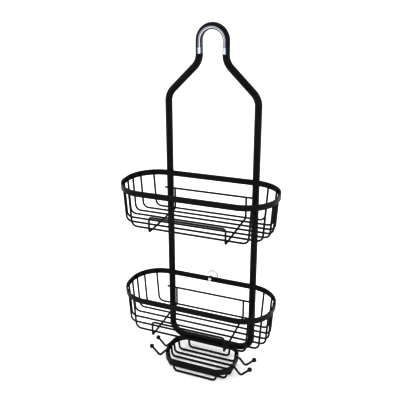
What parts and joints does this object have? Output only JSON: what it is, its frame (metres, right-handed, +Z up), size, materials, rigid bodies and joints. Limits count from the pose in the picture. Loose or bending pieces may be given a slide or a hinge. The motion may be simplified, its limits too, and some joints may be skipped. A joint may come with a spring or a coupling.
{
  "type": "hanging shower caddy",
  "caption": "Over-the-arm shower caddy of bent black bar and wire, with oval baskets, a soap dish, ball-ended hooks, a clear liner in the loop and a suction cup.",
  "frame": {"origin": "centre of the hanging loop's arch, on the axis of the shower arm it hooks over", "axes": "+X to the right seen from the front, +Y towards the wall, +Z up"},
  "size_m": [0.271, 0.1336, 0.619],
  "materials": {
    "black_powder_coat": "satin black powder coat",
    "black_ball_cap": "black dipped ball end",
    "clear_pvc": "clear soft PVC"
  },
  "bodies": {
    "caddy": {"hanging_frame": "black_powder_coat", "loop_liner": "clear_pvc", "upper_rim": "black_powder_coat", "upper_floor_wire_1": "black_powder_coat", "upper_floor_wire_2": "black_powder_coat", "upper_floor_wire_3": "black_powder_coat", "upper_floor_wire_4": "black_powder_coat", "upper_floor_wire_5": "black_powder_coat", "upper_floor_wire_6": "black_powder_coat", "upper_floor_wire_7": "black_powder_coat", "upper_cross_wire": "black_powder_coat", "upper_cradle_wire": "black_powder_coat", "lower_rim": "black_powder_coat", "lower_floor_wire_1": "black_powder_coat", "lower_floor_wire_2": "black_powder_coat", "lower_floor_wire_3": "black_powder_coat", "lower_floor_wire_4": "black_powder_coat", "lower_floor_wire_5": "black_powder_coat", "lower_floor_wire_6": "black_powder_coat", "lower_floor_wire_7": "black_powder_coat", "lower_cross_wire": "black_powder_coat", "lower_cradle_wire": "black_powder_coat", "dish_rim": "black_powder_coat", "dish_wire_1": "black_powder_coat", "dish_wire_2": "black_powder_coat", "dish_wire_3": "black_powder_coat", "dish_wire_4": "black_powder_coat", "dish_wire_5": "black_powder_coat", "dish_wire_6": "black_powder_coat", "dish_wire_7": "black_powder_coat", "hook_left_rear": "black_powder_coat", "hook_left_front": "black_powder_coat", "hook_right_rear": "black_powder_coat", "hook_right_front": "black_powder_coat", "ball_left_rear": "black_ball_cap", "ball_left_front": "black_ball_cap", "ball_right_rear": "black_ball_cap", "ball_right_front": "black_ball_cap"},
    "suction_cup": {"suction_cup": "clear_pvc"}
  },
  "joints": [
    {"name": "cup_turn", "type": "hinge", "parent": "caddy", "child": "suction_cup", "pos_m": [0, -0.00712, -0.43175], "axis": [0, 1, 0], "continuous": true}
  ]
}
